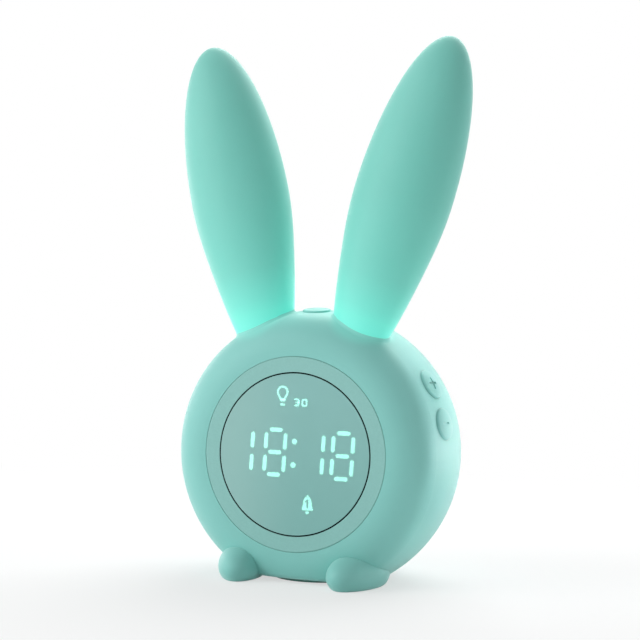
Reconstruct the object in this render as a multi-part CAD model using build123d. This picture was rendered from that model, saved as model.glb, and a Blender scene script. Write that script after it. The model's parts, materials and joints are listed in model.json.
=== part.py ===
from build123d import *
import os
from math import atan2, cos, pi, radians, sin, sqrt, tan

# Night-light alarm clock in the form of a rabbit: a ball with a flat face, two tall
# lit ears and two paws.  Millimetres.  The origin is on the table under the middle of
# the ball; +Z is up and the face looks along -Y.

# Ball
ball_radius = 48.5
centre_height = 43.3        # middle of the ball above the table
face_depth = 22.9           # middle of the ball to the flat face
shoulder_radius = 13.0      # rounding from the face into the ball
base_height = 1.4           # flat underside above the table
base_rounding = 3.0
skin_wall = 2.0             # silicone cover
shell_wall = 2.0            # moulded housing
skin_gap = 0.1              # cover to housing
seat_gap = 0.05             # between pieces that seat on each other
split_depth = 8.0           # joint of the two housings behind the middle
lip_length = 3.0
lip_wall = 0.9

# Face
bezel_radius = 32.45
bezel_gap = 0.1             # fine seam round the bezel
bezel_rounding = 0.25
lens_radius = 26.8
lens_thickness = 1.8
gasket_width = 0.5
gasket_recess = 0.15
peg_radius = 1.5
peg_count = 4
peg_length = 3.5

# Display
digit_places = (-19.6, -7.7, 6.1, 16.6)
colon_place = -0.8
display_rise = 0.2          # digits above the middle of the ball
digit_rise = 7.5            # middle to the top bar
digit_reach = 3.5           # middle to a side bar
digit_slant = 2.3           # degrees
side_bar = 5.4
cross_bar = 4.8
bar_width = 1.45
colon_radius = 0.95
colon_rise = 3.9
bulb_place = (-5.3, 19.3)
bulb_window = (4.6, 7.2)
timer_place = (1.3, 17.4)
timer_window = (6.2, 3.4)
bell_place = (4.7, -16.1)
bell_window = (5.0, 7.4)
time_shown = ((1, 4), (0, 1, 2, 3, 4, 5, 6), (1, 4), (0, 1, 2, 3, 4, 5, 6))
frame_depth = 6.0           # light box behind the lens
frame_gap = 0.2
diffuser_thickness = 0.6
diffuser_gap = 0.03
board_thickness = 1.6
display_board_radius = 31.8
display_boss_circle = 29.4
led_size = (1.0, 0.5, 0.8)

# Ears
ear_side = 17.8             # root of an ear beside the middle
ear_forward = 9.8           # and in front of it
ear_root_depth = 1.5        # root below the surface of the ball
ear_lean_out = 15.5         # degrees
ear_lean_back = 4.0
ear_turn = -6.0             # flat of the ear turned inwards about its own axis
ear_length = 101.8
ear_width = 34.9
ear_thickness = 25.7
ear_root_width = 21.0
ear_widest = 0.458          # share of the length where the ear is widest
ear_neck = 0.7              # share of the root width kept inside the ball
ear_swell = 2.4             # outline still short of its full width
ear_swell_height = 0.223    # at this share of the length
ear_wall = 2.4
plug_size = (15.4, 10.4)
plug_gap = 0.15
plug_wall = 2.2
plug_height = 6.0           # above the root of the ear
ear_board_thickness = 1.2
ear_led_size = (3.5, 3.5, 1.4)
ear_led_spacing = 5.6
ear_led_drop = 1.5
ear_board_hole = 1.0
ear_board_hole_place = 3.3
wire_hole_radius = 2.5

# Paws
paw_side = 21.0
paw_forward = 14.4
paw_height = 4.4            # middle of the paw above the table
paw_size = (15.8, 31.4, 15.0)
paw_rounding = 2.0          # round its flat underside
paw_splay = 10.8            # degrees

# Keys
key_travel = 0.8
key_gap = 0.2
key_rise = 1.3              # cap above the ball
key_sink = 1.15             # underside of the cap below the ball
key_rounding = 0.9
side_key_radius = 5.2
side_key_turn = 82.5        # degrees round from the face
side_key_lift = 22.1        # degrees above the middle
side_key_pitch = 13.9
top_key_radius = 4.7
top_key_forward = 6.5
top_key_rise = 0.9
plunger_radius = 2.4
flange_radius = 3.4
flange_height = 1.0
plunger_tip = 0.5
stem_radius = 1.6
stem_gap = 0.1
stem_show = 1.1
stem_length = 2.2
switch_size = 6.0
switch_height = 3.5
side_board_size = (9.0, 21.0)
top_board_size = (19.0, 9.0)
top_boss_reach = 7.3
key_wall_gap = 0.15         # flange of a plunger to the housing

# Screws and bosses
screw_radius = 0.95
screw_head_radius = 1.8
screw_head_height = 1.2
screw_length = 5.0
screw_gap = 0.06
hole_gap = 0.2
boss_radius = 2.3
housing_screw_radius = 1.25
housing_screw_head_radius = 2.4
housing_screw_head_height = 1.6
housing_screw_length = 12.0
housing_screw_grip = 4.0    # thickness of plastic under the head
housing_boss_radius = 3.3
housing_boss_depth = 9.0
housing_boss_places = ((20.0, 36.5), (36.0, -21.0))

# Main board and battery
main_board_size = (53.0, 57.0)
main_board_depth = -4.0     # front face of the board
main_post_places = (24.0, 26.0)
chip_size = (10.0, 1.4, 10.0)
chip_rise = 6.0
connector_size = (8.0, 6.0, 4.5)
connector_rise = 22.0
connector_places = (-12.0, 0.0, 12.0)
capacitor_radius = 3.0
capacitor_length = 6.0
capacitor_places = ((-8.0, -12.0), (0.0, -12.0))
cell_size = (44.0, 9.0, 30.0)
cell_tape = 0.3
strap_width = 12.0
strap_thickness = 1.4
strap_foot = 6.0

# Speaker
speaker_height = 2.0        # above the middle of the ball
speaker_radius = 18.0
speaker_depth = 12.0
speaker_seat = 36.0         # rim plane behind the middle of the ball
speaker_tab_circle = 19.8
speaker_tab_radius = 2.8
speaker_rim = 1.2
speaker_rim_width = 2.0
speaker_link = 0.93         # share of the tab circle where a tab joins the rim
speaker_seat_wall = 1.4
basket_radius = 12.0
basket_bore = 4.5
basket_wall = 1.0
magnet_radius = 11.0
magnet_height = 5.0
magnet_rounding = 0.8
cone_profile = ((0, -4.2), (3.8, -5.2), (12.0, -0.8), (14.6, -0.2), (14.6, -0.6), (12.2, -1.2),
                (4.2, -5.6), (4.0, -8.0), (3.6, -8.0), (3.6, -5.6), (0, -4.6), (0, -4.2))
sound_hole_radius = 0.9
sound_hole_pitch = 3.6
sound_rings = 2

# Charging socket
port_height = -19.5         # below the middle of the ball
port_well = (12.6, 7.4)     # room for the body of a plug
port_well_rounding = 1.6
port_cover_gap = 0.2
port_well_floor = 38.0      # behind the middle of the ball
port_floor_wall = 1.5
port_insert_wall = 3.0      # moulded insert round the well
socket_size = (8.9, 7.4, 3.2)
socket_gap = 0.12
socket_wall = 0.3
socket_tongue = 0.7
socket_tongue_width = 6.7
socket_back_wall = 1.0
socket_recess = 0.2
charge_board_size = (17.0, 16.0)
charge_post_places = (5.6, 24.5)
charge_board_gap = 0.1

# Base
base_plate_radius = 17.0
base_plate_gap = 0.15
pad_radius = 15.2
pad_groove_radii = (6.0, 10.0, 13.0)
pad_groove_width = 0.8
pad_groove_depth = 0.4
base_screw_places = ((9.0, -3.0), (-9.0, -3.0))
base_boss_height = 5.0
pad_rounding = 0.3

shell_inset = skin_wall + skin_gap
room_inset = shell_inset + shell_wall
room_radius = ball_radius - room_inset
bezel_depth = shell_inset - seat_gap
bezel_bore = lens_radius + gasket_width
frame_front = -face_depth + lens_thickness + frame_gap
display_board_front = frame_front + frame_depth + seat_gap
housing_screw_seat = split_depth + housing_screw_grip
span = 4 * ball_radius      # longer than anything it has to cut

middle = Pos(0, 0, centre_height)
parts = {}


def face_plane(depth):
    """Upright plane behind the middle of the ball by depth, seen from the front."""
    return Plane(origin=(0, depth, centre_height), x_dir=(1, 0, 0), z_dir=(0, -1, 0))


def plate(sketch, depth, thickness):
    """Sketch in X and Z, made a plate that runs back from depth."""
    return extrude(face_plane(depth) * sketch, -thickness)


def rod(radius, place, depth, length):
    """Round bar along Y at place (x, z), running back from depth."""
    return plate(Pos(*place) * Circle(radius), depth, length)


def upright(radius, place, bottom, height):
    """Round bar along Z at place (x, y)."""
    bar = Cylinder(radius, height, align=(Align.CENTER, Align.CENTER, Align.MIN))
    return Pos(place[0], place[1], bottom) * bar


def both_sides(shape):
    return [shape, mirror(shape, about=Plane.YZ)]


def four(place):
    """The place (x, z) and its reflections in both axes."""
    return [(sx * place[0], sz * place[1]) for sx in (1, -1) for sz in (1, -1)]


def ring_places(radius, count, start=0.0):
    """Places spread evenly round a circle."""
    turn = 2 * pi / count
    return [(radius * cos(start + i * turn), radius * sin(start + i * turn)) for i in range(count)]


def ball_form(inset):
    """Solid of the body's outside, moved in by inset."""
    radius = ball_radius - inset
    face = face_depth - inset
    rounding = shoulder_radius - inset
    arc_y = rounding - face
    arc_x = sqrt((radius - rounding) ** 2 - arc_y ** 2)
    start = atan2(arc_y, arc_x)
    low = (start - pi / 2) / 2
    high = (start + pi / 2) / 2
    joint = (radius * cos(start), radius * sin(start))
    with BuildSketch() as half:
        with BuildLine():
            Line((0, -face), (arc_x, -face))
            ThreePointArc((arc_x, -face), (arc_x + rounding * cos(low), arc_y + rounding * sin(low)), joint)
            ThreePointArc(joint, (radius * cos(high), radius * sin(high)), (0, radius))
            Line((0, radius), (0, -face))
        make_face()
    ball = middle * revolve(half.sketch, Axis.Y)
    above = Box(span, span, span, align=(Align.CENTER, Align.CENTER, Align.MIN))
    ball = ball & Pos(0, 0, base_height + inset) * above
    rim = ball.faces().sort_by(Axis.Z)[0].edges()
    return fillet(rim, max(base_rounding - inset, 0.4))


def ear_frame():
    """Plane at the root of the right ear, its normal along the ear."""
    height = sqrt(ball_radius ** 2 - ear_side ** 2 - ear_forward ** 2) - ear_root_depth
    direction = Vector(tan(radians(ear_lean_out)), tan(radians(ear_lean_back)), 1)
    origin = (ear_side, -ear_forward, centre_height + height)
    upright = Plane(origin=origin, x_dir=(1, 0, 0), z_dir=direction)
    return Plane(upright.location * Rot(0, 0, ear_turn))


def ear_form(inset):
    """Right ear as a solid, moved in by inset; it runs on below its root into the ball."""
    half_width = ear_width / 2 - inset
    half_root = ear_root_width / 2 - inset
    widest = ear_widest * ear_length
    tip = ear_length - inset
    with BuildSketch(Plane.XZ) as half:
        with BuildLine():
            Line((0, -ear_root_width), (half_root * ear_neck, -ear_root_width))
            Line((half_root * ear_neck, -ear_root_width), (half_root, 0))
            Spline((half_root, 0), (half_width - ear_swell, ear_swell_height * ear_length),
                   (half_width, widest), tangents=((0.25, 1), (0, 1)))
            EllipticalCenterArc((0, widest), half_width, tip - widest, 0, arc_size=90)
            Line((0, tip), (0, -ear_root_width))
        make_face()
    round_ear = revolve(half.sketch, Axis.Z)
    flat_ear = scale(round_ear, by=(1, (ear_thickness / 2 - inset) / half_width, 1))
    return ear_frame().location * flat_ear


def bars():
    """Places of all the bars of a digit: length, turn and middle, top bar first."""
    top = (cross_bar, 0, 0, digit_rise)
    right_up = (side_bar, 90, digit_reach, digit_rise / 2)
    left_up = (side_bar, 90, -digit_reach, digit_rise / 2)
    across = (cross_bar, 0, 0, 0)
    right_down = (side_bar, 90, digit_reach, -digit_rise / 2)
    left_down = (side_bar, 90, -digit_reach, -digit_rise / 2)
    bottom = (cross_bar, 0, 0, -digit_rise)
    return top, right_up, left_up, across, right_down, left_down, bottom


def bar_windows(lit, grow=0.0):
    """Outlines of the bars of the clock's digits that are lit, or of those that are not."""
    slant = radians(digit_slant)
    found = []
    for digit_x, shown in zip(digit_places, time_shown):
        for number, (length, turn, x, z) in enumerate(bars()):
            if (number in shown) != lit:
                continue
            bar = SlotOverall(length + 2 * grow, bar_width + 2 * grow)
            lean = digit_slant if turn else 0
            place = Pos(digit_x + x + z * tan(slant), display_rise + z)
            found.append(place * Rot(0, 0, turn - lean) * bar)
    return found


def sign_windows(grow=0.0):
    """Outlines of the colon and of the windows for the bulb, timer and bell signs."""
    found = []
    for rise in (colon_rise, -colon_rise):
        place = Pos(colon_place + rise * tan(radians(digit_slant)), display_rise + rise)
        found.append(place * Circle(colon_radius + grow))
    for place, size in ((bulb_place, bulb_window), (timer_place, timer_window), (bell_place, bell_window)):
        sign = RectangleRounded(size[0] + 2 * grow, size[1] + 2 * grow, min(size) * 0.3)
        found.append(Pos(*place) * sign)
    return found


def screw(radius, length, head_radius, head_height):
    """Screw along -Z with the underside of its head at the origin."""
    shank = Cylinder(radius, length, align=(Align.CENTER, Align.CENTER, Align.MAX))
    head = Cylinder(head_radius, head_height, align=(Align.CENTER, Align.CENTER, Align.MIN))
    return fillet((shank + head).edges().sort_by(Axis.Z)[-1], head_height * 0.4)


def small_screw():
    return screw(screw_radius, screw_length, screw_head_radius, screw_head_height)


# Keys: each set lies in a plane through the middle of the ball, and the height of a
# piece in that plane is its distance out from the middle.

side_direction = (sin(radians(side_key_turn)) * cos(radians(side_key_lift)),
                  -cos(radians(side_key_turn)) * cos(radians(side_key_lift)),
                  sin(radians(side_key_lift)))
side_plane = Plane(origin=(0, 0, centre_height),
                   x_dir=(cos(radians(side_key_turn)), sin(radians(side_key_turn)), 0),
                   z_dir=side_direction)
top_plane = Plane(origin=(0, 0, centre_height), x_dir=(1, 0, 0), z_dir=(0, 0, 1))


def flange_top(offset):
    """Highest a plunger's flange can stand under the curved wall."""
    return sqrt(room_radius ** 2 - (abs(offset) + flange_radius) ** 2) - key_wall_gap


def switch_top(offset):
    """Top of the switch under a key."""
    return flange_top(offset) - flange_height - plunger_tip - seat_gap - stem_show


def key_cap(radius, offset, rise):
    body = upright(radius, (0, offset), ball_radius - 10, 20)
    body = body & Sphere(ball_radius + rise)
    body = body - Sphere(ball_radius - key_sink)
    return fillet(body.edges().sort_by(Axis.Z)[-1], key_rounding)


def key_plunger(offset):
    top = flange_top(offset)
    tip = top - flange_height - plunger_tip
    bar = upright(plunger_radius, (0, offset), tip, ball_radius - tip)
    flange = upright(flange_radius, (0, offset), top - flange_height, flange_height)
    return (bar + flange) & Sphere(ball_radius - key_sink - seat_gap)


def switch_stem(offset):
    top = switch_top(offset) + stem_show
    return upright(stem_radius, (0, offset), top - stem_show - stem_length, stem_show + stem_length)


def switch_body(offset):
    box = Box(switch_size, switch_size, switch_height, align=(Align.CENTER, Align.CENTER, Align.MAX))
    box = Pos(0, offset, switch_top(offset)) * box
    depth = stem_length + key_travel + 2 * stem_gap
    well = upright(stem_radius + stem_gap, (0, offset), switch_top(offset) - depth, span)
    return box - well


def key_holes(radius, offset):
    """What a key takes out of the cover and out of the housing."""
    cover_hole = upright(radius + key_gap, (0, offset), 0, span)
    wall_hole = upright(plunger_radius + key_gap, (0, offset), room_radius / 2, span)
    return cover_hole, wall_hole


def key_board(size, offset, middle_offset, hole_places):
    """Board under a key at offset; the board's own middle is at middle_offset."""
    board = Box(size[0], size[1], board_thickness, align=(Align.CENTER, Align.CENTER, Align.MAX))
    board = Pos(0, middle_offset, key_board_top(offset)) * board
    for x, y in hole_places:
        board = board - upright(screw_radius + hole_gap, (x, y), 0, span)
    return board


def key_board_top(offset):
    return switch_top(offset) - switch_height - seat_gap


def key_board_bosses(offset, hole_places):
    """Posts from the curved wall down to a key board."""
    posts = []
    for x, y in hole_places:
        post = upright(boss_radius, (x, y), key_board_top(offset) + seat_gap, span)
        hole = upright(screw_radius + screw_gap, (x, y), 0, key_board_top(offset) + screw_length)
        posts.append((post & Sphere(room_radius + shell_wall / 2)) - hole)
    return posts


def key_board_screws(offset, hole_places):
    under = key_board_top(offset) - board_thickness
    return [Pos(x, y, under) * Rot(180, 0, 0) * small_screw() for x, y in hole_places]


side_offset = side_key_pitch / 2
side_holes = [(0, 0)]
top_offset = -top_key_forward
top_holes = [(top_boss_reach, top_offset), (-top_boss_reach, top_offset)]


def add_keys():
    right = side_plane.location
    upper, lower = side_offset, -side_offset
    names = {"plus": (False, upper), "minus": (False, lower), "mode": (True, upper), "alarm": (True, lower)}
    for name, (is_left, offset) in names.items():
        pieces = {"_key": key_cap(side_key_radius, offset, key_rise), "_plunger": key_plunger(offset),
                  "_switch_stem": switch_stem(offset), "_switch": switch_body(offset)}
        for ending, piece in pieces.items():
            piece = right * piece
            parts[name + ending] = mirror(piece, about=Plane.YZ) if is_left else piece
    board = right * key_board(side_board_size, side_offset, 0, side_holes)
    parts["right_key_board"], parts["left_key_board"] = both_sides(board)
    up = top_plane.location
    parts["top_button"] = up * key_cap(top_key_radius, top_offset, top_key_rise)
    parts["top_plunger"] = up * key_plunger(top_offset)
    parts["top_switch_stem"] = up * switch_stem(top_offset)
    parts["top_switch"] = up * switch_body(top_offset)
    parts["top_key_board"] = up * key_board(top_board_size, top_offset, top_offset, top_holes)


def all_key_holes():
    cover, wall = [], []
    for offset in (side_offset, -side_offset):
        outer, inner = key_holes(side_key_radius, offset)
        cover += both_sides(side_plane.location * outer)
        wall += both_sides(side_plane.location * inner)
    outer, inner = key_holes(top_key_radius, top_offset)
    return cover + [top_plane.location * outer], wall + [top_plane.location * inner]


# Housing, cover and what they carry

def slab(start, end):
    """Everything from start to end behind the middle of the ball."""
    block = Box(span, end - start, span, align=(Align.CENTER, Align.MIN, Align.CENTER))
    return Pos(0, start, centre_height) * block


def sound_holes(length):
    """Rings of round holes over the speaker."""
    holes = [(0.0, speaker_height)]
    for ring in range(1, sound_rings + 1):
        places = ring_places(ring * sound_hole_pitch, 6 * ring)
        holes += [(x, speaker_height + z) for x, z in places]
    return [rod(sound_hole_radius, place, speaker_seat - length, 2 * length) for place in holes]


def port_block(grow, start, end):
    """Upright round-cornered block round the plug well."""
    size = (port_well[0] + 2 * grow, port_well[1] + 2 * grow)
    outline = RectangleRounded(size[0], size[1], port_well_rounding + grow)
    return plate(Pos(0, port_height) * outline, start, end - start)


def tab_places():
    return [(x, speaker_height + z) for x, z in ring_places(speaker_tab_circle, 3, pi / 2)]


def peg_places():
    circle = (bezel_bore + bezel_radius) / 2
    return ring_places(circle, peg_count)


def display_boss_places():
    return ring_places(display_boss_circle, 4, pi / 4)


def add_cover():
    cover_holes, _ = all_key_holes()
    cover = ball_form(0) - ball_form(skin_wall)
    cover = cover - rod(bezel_radius + bezel_gap, (0, 0), -span, span)
    for hole in both_sides(plug_form(-plug_gap)):
        cover = cover - hole
    for hole in cover_holes + sound_holes(span):
        cover = cover - hole
    cover = cover - port_block(port_cover_gap, 0, span)
    parts["body_cover"] = cover - upright(base_plate_radius, (0, 0), -1, centre_height)


def housing_boss(place, start, end):
    return rod(housing_boss_radius, place, start, end - start)


def add_housings():
    outside = ball_form(shell_inset)
    inside = ball_form(room_inset)
    shell = outside - inside
    _, wall_holes = all_key_holes()
    rebate = ball_form(shell_inset + lip_wall) - inside
    bosses = [(side * x, z) for x, z in housing_boss_places for side in (1, -1)]
    lip_form = ball_form(shell_inset + lip_wall + seat_gap)
    lip = lip_form - inside
    for place in bosses:
        lip = lip + (housing_boss(place, split_depth - lip_length, split_depth) & lip_form)
    lip = lip & slab(split_depth - lip_length, split_depth)

    front = shell & slab(-span / 2, split_depth)
    front = front - (rebate & slab(split_depth - lip_length - seat_gap, split_depth))
    boss_end = split_depth - lip_length
    adds = [housing_boss(place, boss_end - housing_boss_depth, boss_end - seat_gap) for place in bosses]
    adds += [rod(boss_radius, place, -face_depth, face_depth + display_board_front - seat_gap)
             for place in display_boss_places()]
    adds += [rod(boss_radius, place, -face_depth, face_depth + main_board_depth - seat_gap)
             for place in four(main_post_places)]
    adds += [upright(boss_radius, place, base_height, shell_inset + base_boss_height)
             for place in base_screw_places]
    for add in adds:
        front = front + (add & outside)
    for offset, holes, plane in ((side_offset, side_holes, side_plane), (top_offset, top_holes, top_plane)):
        for boss in key_board_bosses(offset, holes):
            boss = plane.location * boss
            pair = both_sides(boss) if plane is side_plane else [boss]
            for post in pair:
                front = front + post
    front = front - rod(lens_radius + gasket_width, (0, 0), -span, span - face_depth + room_inset + 1)
    for hole in wall_holes:
        front = front - hole
    for place in peg_places():
        front = front - rod(peg_radius + screw_gap, place, -face_depth, face_depth)
    for place in display_boss_places():
        front = front - rod(screw_radius + screw_gap, place,
                            display_board_front - screw_length, screw_length)
    for place in four(main_post_places):
        front = front - rod(screw_radius + screw_gap, place, main_board_depth - screw_length, screw_length)
    for place in bosses:
        front = front - rod(housing_screw_radius + screw_gap, place,
                            housing_screw_seat - housing_screw_length - 1, housing_screw_length + 1)
    for place in base_screw_places:
        front = front - upright(screw_radius + screw_gap, place, 0, base_height + skin_wall + screw_length)
    for hole in ear_wire_holes():
        front = front - hole
    parts["front_housing"] = front

    rear = (shell & slab(split_depth, span)) + lip
    adds = [housing_boss(place, split_depth, span) for place in bosses]
    adds += [rod(speaker_tab_radius, place, speaker_seat, span) for place in tab_places()]
    charge_post_height = charge_board_top() - board_thickness - seat_gap - base_height
    adds += [upright(boss_radius, (x, charge_post_places[1]), base_height, charge_post_height)
             for x in (charge_post_places[0], -charge_post_places[0])]
    seat_ring = rod(speaker_radius, (0, speaker_height), speaker_seat, span)
    seat_bore = speaker_radius - speaker_seat_wall
    adds.append(seat_ring - rod(seat_bore, (0, speaker_height), speaker_seat - 1, 2 * span))
    for add in adds:
        rear = rear + (add & outside)
    for place in bosses:
        rear = rear - rod(housing_screw_radius + hole_gap, place, 0, span)
        rear = rear - rod(housing_screw_head_radius + hole_gap, place, housing_screw_seat, span)
    insert_start = port_well_floor - port_floor_wall
    cavity = port_block(port_insert_wall + seat_gap, insert_start - port_floor_wall, span)
    rear = rear - cavity
    for place in tab_places():
        rear = rear - rod(screw_radius + screw_gap, place,
                          speaker_seat - speaker_rim, screw_length + hole_gap)
    for hole in sound_holes(span):
        rear = rear - hole
    for x in (charge_post_places[0], -charge_post_places[0]):
        rear = rear - upright(screw_radius + screw_gap, (x, charge_post_places[1]),
                              charge_board_top() - screw_length, screw_length)
    parts["rear_housing"] = rear

    insert = port_block(port_insert_wall, insert_start, span) & outside
    insert = insert - port_block(0, port_well_floor, span)
    parts["port_insert"] = insert - plate(Pos(0, port_height) * socket_outline(socket_gap), 0, span)

    seats = [Pos(x, housing_screw_seat, centre_height + z) * Rot(-90, 0, 0) for x, z in bosses]
    fastener = screw(housing_screw_radius, housing_screw_length,
                     housing_screw_head_radius, housing_screw_head_height)
    parts["housing_screws"] = Compound([seat * fastener for seat in seats])


def add_face():
    ring = rod(bezel_radius, (0, 0), -face_depth, bezel_depth)
    ring = ring - rod(bezel_bore, (0, 0), -face_depth - 1, span)
    ring = fillet(ring.edges().group_by(Axis.Y)[0].sort_by(SortBy.LENGTH)[-1], bezel_rounding)
    for place in peg_places():
        ring = ring + rod(peg_radius, place, -face_depth + 1, peg_length)
    parts["bezel_ring"] = ring
    gasket_depth = lens_thickness - gasket_recess
    gasket = rod(bezel_bore - seat_gap / 2, (0, 0), -face_depth + gasket_recess, gasket_depth)
    parts["lens_gasket"] = gasket - rod(lens_radius + seat_gap / 2, (0, 0), -span, 2 * span)
    parts["display_lens"] = rod(lens_radius, (0, 0), -face_depth, lens_thickness)


def add_display():
    box = rod(lens_radius, (0, 0), frame_front, frame_depth)
    lit = bar_windows(True) + sign_windows()
    dark = bar_windows(False)
    for window in lit + dark:
        box = box - plate(window, frame_front - 1, frame_depth + 2)
    parts["display_frame"] = box
    lit = bar_windows(True, -diffuser_gap) + sign_windows(-diffuser_gap)
    dark = bar_windows(False, -diffuser_gap)
    parts["lit_segments"] = Compound([plate(window, frame_front, diffuser_thickness) for window in lit])
    parts["dark_segments"] = Compound([plate(window, frame_front, diffuser_thickness) for window in dark])
    board = rod(display_board_radius, (0, 0), display_board_front, board_thickness)
    for place in display_boss_places():
        board = board - rod(screw_radius + hole_gap, place, -span, 2 * span)
    parts["display_board"] = board
    led = Box(*led_size)
    leds = []
    for window in bar_windows(True) + bar_windows(False) + sign_windows():
        spot = window.center()
        leds.append(Pos(spot.X, display_board_front - led_size[1] / 2, centre_height + spot.Y) * led)
    parts["display_leds"] = Compound(leds)


def plug_form(inset):
    """Oval post at the root of the right ear, from inside the ball to its full height."""
    outline = Ellipse(plug_size[0] / 2 - inset, plug_size[1] / 2 - inset)
    post = extrude(outline, plug_height + ear_root_width)
    return ear_frame().location * Pos(0, 0, -ear_root_width) * post


def ear_wire_holes():
    hole = Cylinder(wire_hole_radius, ear_root_width * 2)
    return both_sides(ear_frame().location * Pos(0, 0, -ear_root_width / 2) * hole)


def add_ears():
    sleeve = (ear_form(0) - ear_form(ear_wall)) - ball_form(-seat_gap)
    plug = (plug_form(0) - plug_form(plug_wall)) - ball_form(shell_inset - seat_gap)
    board = Ellipse(plug_size[0] / 2, plug_size[1] / 2)
    board = extrude(board - Pos(0, ear_board_hole_place) * Circle(ear_board_hole), ear_board_thickness)
    board = ear_frame().location * Pos(0, 0, plug_height + seat_gap) * board
    led = Box(*ear_led_size, align=(Align.CENTER, Align.CENTER, Align.MIN))
    led_base = plug_height + seat_gap + ear_board_thickness
    leds = [ear_frame().location * Pos(x, -ear_led_drop, led_base) * led
            for x in (-ear_led_spacing / 2, ear_led_spacing / 2)]
    for name, piece in {"ear": sleeve, "ear_plug": plug, "ear_light_board": board,
                        "ear_leds": Compound(leds)}.items():
        parts["right_" + name] = piece
        parts["left_" + name] = mirror(piece, about=Plane.YZ)


def add_paws():
    ball = scale(Sphere(0.5), by=paw_size)
    paw = Pos(paw_side, -paw_forward, paw_height) * Rot(0, 0, -paw_splay) * ball
    above = Box(span, span, span, align=(Align.CENTER, Align.CENTER, Align.MIN))
    paw = paw & above
    paw = fillet(paw.edges().sort_by(Axis.Z)[0], paw_rounding) - ball_form(-seat_gap)
    paw = paw.solids().sort_by(SortBy.VOLUME)[-1]
    parts["right_paw"], parts["left_paw"] = both_sides(paw)


def add_boards():
    board = plate(Rectangle(*main_board_size), main_board_depth, board_thickness)
    for place in four(main_post_places):
        board = board - rod(screw_radius + hole_gap, place, -span, 2 * span)
    parts["main_board"] = board
    chip = Pos(0, main_board_depth - chip_size[1] / 2, centre_height + chip_rise) * Box(*chip_size)
    capacitors = [rod(capacitor_radius, place, main_board_depth - capacitor_length, capacitor_length)
                  for place in capacitor_places]
    plug_depth = main_board_depth - connector_size[1] / 2
    plugs = [Pos(x, plug_depth, centre_height + connector_rise) * Box(*connector_size)
             for x in connector_places]
    parts["main_board_parts"] = Compound([chip] + capacitors + plugs)


def add_battery():
    back = main_board_depth + board_thickness
    front = back + cell_tape
    size = Pos(0, front + cell_size[1] / 2, centre_height)
    cell = Box(*cell_size)
    cell = fillet(cell.edges().filter_by(Axis.X), cell_size[1] * 0.3)
    parts["battery_cell"] = size * cell
    tape = Box(cell_size[0] * 0.8, cell_tape, cell_size[2] * 0.6)
    parts["battery_tape"] = Pos(0, back + cell_tape / 2, centre_height) * tape
    reach = cell_size[2] + 2 * seat_gap
    depth = cell_tape + cell_size[1] + seat_gap
    low_front = (Align.CENTER, Align.MIN, Align.CENTER)
    hoop = Box(strap_width, depth + strap_thickness, reach + 2 * strap_thickness, align=low_front)
    feet = Box(strap_width, strap_thickness, reach + 2 * strap_foot, align=low_front)
    strap = (hoop + feet) - Box(strap_width, depth, reach, align=low_front)
    parts["battery_strap"] = Pos(0, back, centre_height) * strap


def socket_outline(grow):
    radius = socket_size[2] / 2 + grow
    return SlotOverall(socket_size[0] + 2 * grow, 2 * radius)


def charge_board_top():
    return centre_height + port_height - socket_size[2] / 2 - seat_gap


def add_port():
    mouth = port_well_floor - socket_recess
    start = mouth - socket_size[1]
    place = Pos(0, port_height)
    can = plate(place * socket_outline(0), start, socket_size[1])
    can = can - plate(place * socket_outline(-socket_wall), start + socket_back_wall, socket_size[1])
    tongue = plate(place * Rectangle(socket_tongue_width, socket_tongue), start + socket_back_wall / 2,
                   socket_size[1] - 1.5 * socket_back_wall)
    parts["charging_socket"] = can + tongue
    board = Box(charge_board_size[0], charge_board_size[1], board_thickness,
                align=(Align.CENTER, Align.MAX, Align.MAX))
    board = Pos(0, port_well_floor - port_floor_wall - charge_board_gap, charge_board_top()) * board
    for x in (charge_post_places[0], -charge_post_places[0]):
        board = board - upright(screw_radius + hole_gap, (x, charge_post_places[1]), 0, span)
    parts["charging_board"] = board


def add_speaker():
    rim_back = speaker_seat - speaker_rim - seat_gap
    rim_bore = speaker_radius - speaker_rim_width
    with BuildSketch() as half:
        with BuildLine():
            Polyline((speaker_radius, 0), (speaker_radius, -speaker_rim), (rim_bore, -speaker_rim),
                     (basket_radius, basket_wall - speaker_depth), (basket_radius, -speaker_depth),
                     (basket_bore, -speaker_depth), (basket_bore, basket_wall - speaker_depth),
                     (basket_radius - basket_wall, basket_wall - speaker_depth),
                     (rim_bore - basket_wall, -speaker_rim / 2), (rim_bore - basket_wall, 0),
                     (speaker_radius, 0))
        make_face()
    place = Pos(0, speaker_seat - seat_gap, centre_height + speaker_height)
    frame = place * revolve(half.sketch, Axis.Y)
    for spot in tab_places():
        tab = rod(speaker_tab_radius, spot, rim_back, speaker_rim)
        link_rise = speaker_height + (spot[1] - speaker_height) * speaker_link
        link = rod(speaker_tab_radius, (spot[0] * speaker_link, link_rise), rim_back, speaker_rim)
        frame = frame + tab + (link - rod(rim_bore, (0, speaker_height), -span, 2 * span))
        frame = frame - rod(screw_radius + hole_gap, spot, -span, 2 * span)
    parts["speaker_frame"] = frame
    back = speaker_seat - seat_gap - speaker_depth
    magnet = rod(magnet_radius, (0, speaker_height), back - magnet_height, magnet_height)
    parts["speaker_magnet"] = fillet(magnet.edges().sort_by(Axis.Y)[0], magnet_rounding)
    with BuildSketch() as cone:
        with BuildLine():
            Polyline(*cone_profile)
        make_face()
    parts["speaker_cone"] = place * revolve(cone.sketch, Axis.Y)


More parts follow.
